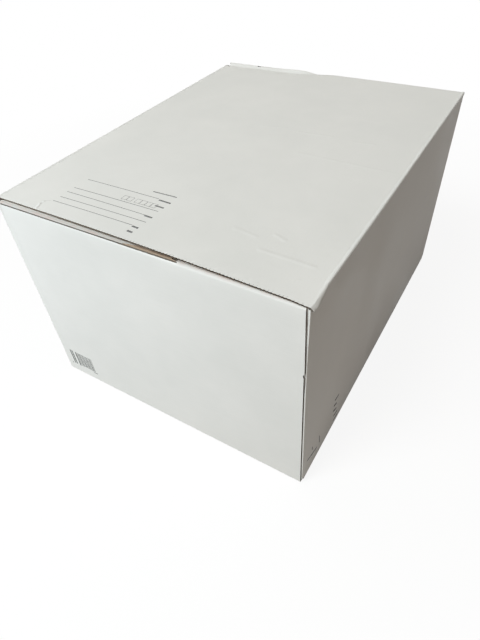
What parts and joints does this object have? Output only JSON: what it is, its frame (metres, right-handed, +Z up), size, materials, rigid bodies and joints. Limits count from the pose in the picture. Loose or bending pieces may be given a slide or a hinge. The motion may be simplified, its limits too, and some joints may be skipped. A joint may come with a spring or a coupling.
{
  "type": "corrugated mailer box",
  "caption": "White tuck-end corrugated shipping box, closed, with a hinged closure flap and tuck at each end of a glued tube and an empty inside.",
  "frame": {"origin": "centre of the bottom panel's outer face, on the surface that the box stands on", "axes": "+X to the right across the front closure, +Y from the front closure to the rear closure, +Z up"},
  "size_m": [0.34, 0.44, 0.254],
  "materials": {
    "white_board": "matt white liner outside, brown kraft liner and fluting inside",
    "kraft_liner": "matt brown kraft",
    "grey_print": "matt grey ink on the white liner"
  },
  "bodies": {
    "body": {"box_body": "white_board"},
    "front_closure": {"front_flap": "white_board"},
    "rear_closure": {"rear_flap": "white_board"}
  },
  "joints": [
    {"name": "front_closure_hinge", "type": "hinge", "parent": "body", "child": "front_closure", "pos_m": [0, -0.219, 0.001], "axis": [1, 0, 0], "range_deg": [0, 90]},
    {"name": "rear_closure_hinge", "type": "hinge", "parent": "body", "child": "rear_closure", "pos_m": [0, 0.219, 0.001], "axis": [-1, 0, 0], "range_deg": [0, 90]}
  ]
}
